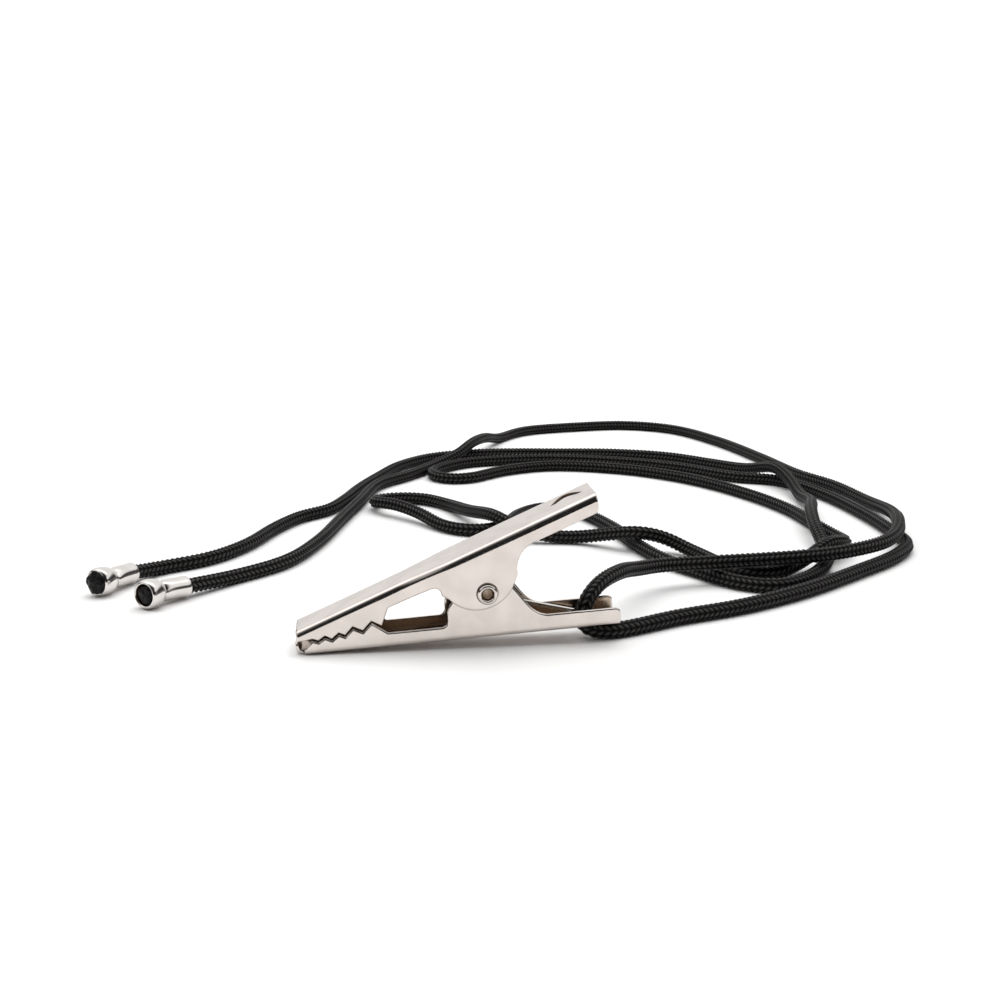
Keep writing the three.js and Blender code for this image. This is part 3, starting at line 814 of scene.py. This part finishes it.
def upper_jaw():
    side = bezier((47.9, 19.6), (47.9, 18.9), (47.4, 18.6), steps=5)
    side += arc(*GRIP_FILLET, 101.5, 188.5, 16)
    side += arc(*EAR_LOBE, 334.2, 221.3, 24)
    side += bezier((23.0, 7.65), (22.8, 8.6), (22.4, 9.2), (21.4, 8.85), steps=8)
    side += [(14.6, 6.4), (13.46, 3.6)]
    side += [(along, up + TOOTH_GAP) for along, up in reversed(TEETH)]
    side += [(1.6, 2.4), (0.25, 2.3)]
    half = [(LEVER_END - 0.05, 1), (LEVER_END - 0.15, 1.5), (LEVER_END - 0.35, 2)]
    half += [lever_pattern(point) for point in side]
    half += [(-0.2, 2.0), (0.1, 1.04), (0.5, 1.0), (0.1, 0.96)]
    lip_end = LIP_START - LIP_RADIUS * LIP_TURN - LIP_STRAIGHT
    for k in range(7):
        t = math.radians(15 * k)
        half.append((lip_end + LIP_CORNER * (1 - math.sin(t)), LIP_SIDE + LIP_TAPER * math.cos(t)))
    outline = half + [(a, -m) for a, m in reversed(half)]
    holes = [crescent()]
    for sign in (1, -1):
        holes.append([lever_pattern(point, sign) for point in round_hole(PIVOT, PIVOT_HOLE)])
    cuts = [LIP_START - 0.15 * k for k in range(9)] + [4.0 * k for k in range(1, 5)]
    cuts += [SPREAD_RANGE[0] + 0.6 * k for k in range(17)] + [4.0 * k for k in range(7, 13)]
    piece = folded_sheet(
        "pressed_upper_jaw", outline, holes, cuts, fold_lever, stretch_lever, in_crescent)
    return placed(piece, "upper_jaw", "lever")


lower_jaw()
upper_jaw()

# ------------------------------------------------------------------ turned pieces


def revolved(name, profile, place, sides, dent=None):
    """A closed ring of (radius, distance) points turned about an axis.

    place(x, y, distance) gives each point's place, and dent(angle, distance, radius) how far it is
    pushed in.
    """
    vertices = []
    for radius, distance in profile:
        for k in range(sides):
            angle = 2 * math.pi * k / sides
            r = radius - (dent(angle, distance, radius) if dent else 0.0)
            vertices.append(place(r * math.cos(angle), r * math.sin(angle), distance))
    faces = []
    count = len(profile)
    for ring in range(count):
        after = (ring + 1) % count
        for k in range(sides):
            step = (k + 1) % sides
            faces.append((ring * sides + k, ring * sides + step,
                          after * sides + step, after * sides + k))
    mesh = mesh_from(name, vertices, faces)
    turn_faces_out(mesh)
    return link(name, mesh)


RIVET_RADIUS = 1.2
RIVET_BORE = 0.85
RIVET_HEAD = 1.57
RIVET_HEAD_HEIGHT = 0.45
RIVET_PLAY = 0.3
RIVET_END = HALF_WIDTH + SPREAD + RIVET_PLAY + RIVET_HEAD_HEIGHT


def pivot_rivet():
    """A hollow rivet: each end is rolled out into a rounded rim with a dished mouth."""
    inside = RIVET_END - RIVET_HEAD_HEIGHT
    half = [(RIVET_RADIUS, 0.0), (RIVET_RADIUS, inside), (RIVET_HEAD - 0.12, inside)]
    half += [(RIVET_HEAD, inside + 0.12), (RIVET_HEAD - 0.05, inside + 0.28)]
    half += [(RIVET_HEAD - 0.22, RIVET_END - 0.03), (RIVET_HEAD - 0.42, RIVET_END)]
    half += [(RIVET_BORE + 0.18, RIVET_END - 0.1), (RIVET_BORE + 0.03, RIVET_END - 0.32)]
    half += [(RIVET_BORE, RIVET_END - 0.7), (RIVET_BORE, 0.0)]
    profile = half[:-1] + [(r, -y) for r, y in reversed(half[1:-1])]

    def place(x, y, distance):
        return from_clip(PIVOT[0] + x, distance, PIVOT[1] + y)

    piece = revolved("hollow_rivet", profile, place, 48)
    piece.data.materials.append(NICKEL)
    piece.data.materials.append(INSIDE_PAINTED_SHADE)
    # The bore's faces get the painted shade of the hollow.
    middle = from_clip(PIVOT[0], 0, PIVOT[1])
    for face in piece.data.polygons:
        out = face.center - middle
        if math.hypot(out.x, out.z) < (RIVET_BORE + 0.02) * MM:
            face.material_index = 1
    piece.data.set_sharp_from_angle(angle=math.radians(50))
    return placed(piece, "pivot_rivet", "clip_base")


pivot_rivet()

SPRING_WIRE = 0.8
SPRING_COIL = 2.1
SPRING_TURNS = 3
SPRING_PITCH = 1.15
SPRING_START = 110
SPRING_FINISH = 275 + 360 * (SPRING_TURNS - 1)
LEG_GAP = 0.3
UPPER_LEG_ALONG = 39.5
LOWER_LEG_ALONG = 44.2


def torsion_spring():
    """The coil round the rivet: one leg runs up under the lever, the other down to the floor."""
    half = SPRING_TURNS * SPRING_PITCH / 2
    sweep = SPRING_FINISH - SPRING_START

    def on_coil(angle):
        across = half * (2 * (angle - SPRING_START) / sweep - 1)
        return Vector((PIVOT[0] + SPRING_COIL * math.cos(math.radians(angle)), across,
                       PIVOT[1] + SPRING_COIL * math.sin(math.radians(angle))))

    def wire(name, points, radius, body):
        line = respaced(centripetal([from_clip(*p) for p in points], 8), 0.25 * MM)
        piece = link(name, tube_mesh(name, line, radius * MM, 16))
        piece.data.materials.append(SPRING)
        piece.data.set_sharp_from_angle(angle=math.radians(50))
        return placed(piece, "torsion_spring", body)

    clear = SHEET + LEG_GAP + SPRING_WIRE / 2
    top = LEVER_FRONT[1] + math.tan(LEVER_ANGLE) * (UPPER_LEG_ALONG - LEVER_FRONT[0])
    upper_end = Vector((UPPER_LEG_ALONG, -half, top - clear / math.cos(LEVER_ANGLE)))
    lower_end = Vector((LOWER_LEG_ALONG, half + 0.2, clear))
    steps = 16 * SPRING_TURNS
    coil = [on_coil(SPRING_START + sweep * i / steps) for i in range(steps + 1)]
    lower_leg = [coil[-1].lerp(lower_end, 0.5), lower_end]
    wire("wire_spring", coil + lower_leg, SPRING_WIRE / 2, "clip_base")
    # The upper leg turns with the lever. It reaches round the coil far enough to stay joined to it.
    reach = [on_coil(SPRING_START + 6 * i) for i in range(6)]
    leg = [upper_end, reach[0].lerp(upper_end, 0.5), *reach]
    wire("wire_spring_upper_leg", leg, SPRING_WIRE / 2 - 0.01, "lever")


torsion_spring()

# ------------------------------------------------------------------ ferrules and melted cord ends

BELL_RADIUS = 2.6
FERRULE_LENGTH = 9.25
FERRULE_TUBE = 1.92
FERRULE_NECK = 5.6
NECK_BEND = 0.8
FERRULE_BORE = 1.5
FERRULE_SIDES = 64
NEAR_KINK = 15.0
FAR_KINK = 0.0
NEAR_MOUTH = (-51.4, 22.3, BELL_RADIUS + 0.05)
FAR_MOUTH = (-61.0, 30.4, BELL_RADIUS + 0.05)


def axis_frame(tail, mouth, kink=0.0):
    """Turns (x, y, distance from the tail) into a place: x is level, y points up.

    The crimp leaves the bell turned by the kink, in degrees, from the line of the tube.
    """
    start = Vector(tail)
    straight = (Vector(mouth) - start).normalized()
    bell_share = 1 - FERRULE_NECK / FERRULE_LENGTH
    tube = Matrix.Rotation(math.radians(-kink * bell_share), 3, "Z") @ straight
    bell = Matrix.Rotation(math.radians(kink * (1 - bell_share)), 3, "Z") @ straight

    def place(x, y, distance):
        turned = smoothstep(distance, FERRULE_NECK - NECK_BEND, FERRULE_NECK + NECK_BEND)
        axis = tube.lerp(bell, turned).normalized()
        level = axis.cross(Vector((0, 0, 1))).normalized()
        up = level.cross(axis)
        centre = start + tube * min(distance, FERRULE_NECK)
        centre += bell * max(0.0, distance - FERRULE_NECK)
        return (centre + level * x + up * y) * MM

    return place


def ferrule(name, node, tail, mouth, kink, dents):
    """A drawn shell: rolled foot, straight tube, crimped neck and a bell with a rolled rim.

    Each dent is (degrees round the axis, distance from the tail, width, depth).
    """
    neck, tube, bell, mouth_end = FERRULE_NECK, FERRULE_TUBE, BELL_RADIUS, FERRULE_LENGTH
    profile = [
        (FERRULE_BORE, 0.10), (1.62, 0.0), (1.80, 0.0), (tube, 0.14), (tube + 0.03, 0.5),
        (tube, 1.0), (tube, 2.2), (tube, 3.4), (tube, 4.4),
        (tube - 0.03, neck - 0.7), (tube - 0.12, neck - 0.35), (tube - 0.14, neck - 0.1),
        (tube + 0.02, neck + 0.15), (tube + 0.26, neck + 0.45), (tube + 0.46, neck + 0.85),
        (bell - 0.12, neck + 1.4), (bell - 0.03, neck + 2.0), (bell, neck + 2.6),
        (bell - 0.03, neck + 3.0), (bell - 0.16, neck + 3.35),
        (bell - 0.36, mouth_end - 0.08), (bell - 0.52, mouth_end), (bell - 0.67, mouth_end - 0.1),
        (bell - 0.74, mouth_end - 0.35), (bell - 0.75, neck + 1.4), (1.56, neck + 0.4),
        (FERRULE_BORE, neck), (FERRULE_BORE, 2.5),
    ]

    def dent(angle, distance, radius):
        pushed = 0.0
        for at_angle, at_distance, width, depth in dents:
            turned = math.remainder(angle - math.radians(at_angle), 2 * math.pi)
            around = turned * radius
            away = math.hypot(around, distance - at_distance)
            pushed += depth * math.exp(-(away / width) ** 2)
        return pushed if radius > 1.7 else 0.0

    piece = revolved(name, profile, axis_frame(tail, mouth, kink), FERRULE_SIDES, dent)
    piece.data.materials.append(FERRULE)
    piece.data.materials.append(FERRULE_INSIDE_PAINTED_SHADE)
    # The bore and the inside of the bell get the painted shade.
    first_inner_ring = len(profile) - 6
    for face in piece.data.polygons:
        face.material_index = 1 if face.index // FERRULE_SIDES >= first_inner_ring else 0
    smooth = piece.modifiers.new("smooth", "SUBSURF")
    smooth.levels = 1
    smooth.render_levels = 1
    return placed(piece, node, "clip_base")


def melted_material():
    material, n = new_material("melted_cord")
    place = n.add("ShaderNodeTexCoord").outputs["Object"]
    lumps = n.noise(place, 1400.0, 3.0)
    bump = n.add("ShaderNodeBump", {"Height": lumps, "Strength": 0.6, "Distance": 0.12 * MM})
    gloss = n.math("ADD", 0.25, n.math("MULTIPLY", lumps, 0.35))
    colour = n.mix(lumps, (0.0015, 0.0015, 0.0015, 1), (0.009, 0.008, 0.008, 1))
    shader = n.add("ShaderNodeBsdfPrincipled", {
        "Base Color": colour, "Roughness": gloss, "Specular IOR Level": 0.15,
        "Normal": bump.outputs[0],
    })
    n.add("ShaderNodeOutputMaterial", {0: shader.outputs[0]})
    return material


MELTED = melted_material()
TIP_RADIUS = 1.62
TIP_BACK = FERRULE_LENGTH - 2.2
TIP_SHOULDER = FERRULE_LENGTH - 0.45
TIP_LIMIT = FERRULE_LENGTH + 1.2
# The share of a tip's rings that lie on its straight side, and that side's length.
TIP_SIDE_SHARE = 0.3
TIP_SIDE = 1.7


def melted_tip(name, node, tail, mouth, kink, crown, lobes, roughness, spill):
    """The cord's end, melted into a bead that fills the ferrule's mouth.

    crown is the bead's height, lobes and roughness say how uneven it is, and spill how far it
    reaches over the rim.
    """
    place = axis_frame(tail, mouth, kink)
    sides, rings = 48, 14
    vertices = [place(0, 0, TIP_BACK)]
    faces = []
    for ring in range(rings + 1):
        t = ring / rings
        for k in range(sides):
            angle = 2 * math.pi * k / sides
            lobe = 1 + 0.10 * roughness * math.sin(lobes * angle + 0.7)
            if t < TIP_SIDE_SHARE:
                radius = TIP_RADIUS
                height = TIP_SHOULDER - (TIP_SIDE_SHARE - t) / TIP_SIDE_SHARE * TIP_SIDE
            else:
                bow = math.pi / 2 * (t - TIP_SIDE_SHARE) / (1 - TIP_SIDE_SHARE)
                wider = spill * smoothstep(t, TIP_SIDE_SHARE, 0.5)
                radius = (TIP_RADIUS + wider) * math.cos(bow)
                height = TIP_SHOULDER + crown * math.sin(bow)
            x, y = radius * math.cos(angle) * lobe, radius * math.sin(angle) * lobe
            lump = noise.noise(Vector((x, y, height)) * 1.3 + Vector((3.1 * lobes, 0, 0)))
            height += 0.5 * roughness * lump * smoothstep(t, TIP_SIDE_SHARE, 0.6)
            vertices.append(place(x, y, min(height, TIP_LIMIT)))
    for k in range(sides):
        faces.append((0, 1 + (k + 1) % sides, 1 + k))
    for ring in range(rings):
        for k in range(sides):
            a = 1 + ring * sides + k
            b = 1 + ring * sides + (k + 1) % sides
            faces.append((a, b, b + sides, a + sides))
    mesh = mesh_from(name, vertices, faces)
    turn_faces_out(mesh, merge=0.01 * MM)
    mesh.shade_smooth()
    piece = link(name, mesh)
    piece.data.materials.append(MELTED)
    return placed(piece, node, "clip_base")


NEAR_DENTS = [(150, 5.3, 0.7, 0.22), (60, 5.4, 0.6, 0.18), (-60, 5.4, 0.7, 0.22)]
FAR_DENTS = [(140, 5.2, 0.7, 0.24), (50, 5.3, 0.6, 0.20), (-70, 5.4, 0.7, 0.24)]
near_axis = (route_point(UPPER_ROUTE[-1]), NEAR_MOUTH, NEAR_KINK)
far_axis = (route_point(LOWER_ROUTE[-1]), FAR_MOUTH, FAR_KINK)
near_ferrule = ferrule("near_bell_ferrule", "near_ferrule", *near_axis, NEAR_DENTS)
far_ferrule = ferrule("far_bell_ferrule", "far_ferrule", *far_axis, FAR_DENTS)
near_tip = melted_tip("near_melted_end", "near_cord_tip", *near_axis,
                      crown=0.45, lobes=3, roughness=0.4, spill=0.0)
far_tip = melted_tip("far_melted_end", "far_cord_tip", *far_axis,
                     crown=1.25, lobes=5, roughness=0.8, spill=0.65)
declare_cord(upper_cord, upper_line)
declare_cord(lower_cord, lower_line)

# ------------------------------------------------------------------ floor and light

# The studio is bright above and behind the object and dark low down on the camera's side, which
# draws the dark line along the bent edges. Each pair is (degrees round from that dark horizon over
# the top, brightness).
SKY = [
    (0, 0.02), (52, 0.02), (66, 0.20), (77, 0.85), (86, 1.9), (104, 2.0), (116, 1.25), (135, 1.05),
    (165, 0.98), (180, 0.98),
]
SKY_BRIGHTEST = 2.0
# To the sides a lower dark band runs along the horizon: (the direction's upward part, brightness).
SIDE_HORIZON = [(0.0, 0.5), (0.08, 0.06), (0.32, 0.06), (0.46, 1.1)]
BACKDROP = 1.1
FLOOR_HALF = 6.0


def make_world():
    """The studio as the metal reflects it; the camera itself sees a plain white backdrop."""
    world = bpy.data.worlds.new("world")
    bpy.context.scene.world = world
    world.use_nodes = True
    n = Nodes(world.node_tree)
    direction = n.add("ShaderNodeTexCoord").outputs["Generated"]
    split = n.add("ShaderNodeSeparateXYZ", {0: direction})
    towards_camera = n.math("MULTIPLY", split.outputs[1], -1.0)
    turn = n.math("DIVIDE", n.math("ARCTAN2", split.outputs[2], towards_camera), math.pi)
    stops = [(angle / 180, (level / SKY_BRIGHTEST,) * 3) for angle, level in SKY]
    sky = n.math("MULTIPLY", n.ramp(turn, stops), SKY_BRIGHTEST)
    sideways = n.add("ShaderNodeMapRange", {
        "Value": n.math("ABSOLUTE", split.outputs[0]), "From Min": 0.45, "From Max": 0.75,
    }).outputs[0]
    side_stops = [(up, (level / SKY_BRIGHTEST,) * 3) for up, level in SIDE_HORIZON]
    side_sky = n.math("MULTIPLY", n.ramp(split.outputs[2], side_stops), SKY_BRIGHTEST)
    evened = n.mix(sideways, sky, side_sky)
    seen = n.add("ShaderNodeLightPath").outputs["Is Camera Ray"]
    colour = n.mix(seen, evened, (BACKDROP,) * 3 + (1,))
    background = n.add("ShaderNodeBackground", {"Color": colour})
    n.add("ShaderNodeOutputWorld", {0: background.outputs[0]})


def make_floor():
    corners = [(-1, -1, 0), (1, -1, 0), (1, 1, 0), (-1, 1, 0)]
    mesh = mesh_from("floor", [Vector(corner) * FLOOR_HALF for corner in corners], [(0, 1, 2, 3)])
    floor = link("floor", mesh)
    material, n = new_material("floor")
    shader = n.add("ShaderNodeBsdfPrincipled", {
        "Base Color": (0.94, 0.935, 0.93, 1), "Roughness": 0.8, "Specular IOR Level": 0.1,
    })
    n.add("ShaderNodeOutputMaterial", {0: shader.outputs[0]})
    mesh.materials.append(material)


def make_sun():
    data = bpy.data.lights.new("soft_sun", "SUN")
    data.energy = 1.2
    data.angle = math.radians(70)
    sun = bpy.data.objects.new("soft_sun", data)
    sun.rotation_euler = (math.radians(-12), math.radians(8), 0.0)
    sun.visible_glossy = False
    bpy.context.scene.collection.objects.link(sun)


make_world()
make_floor()
make_sun()

bpy.context.scene.view_settings.view_transform = "Standard"
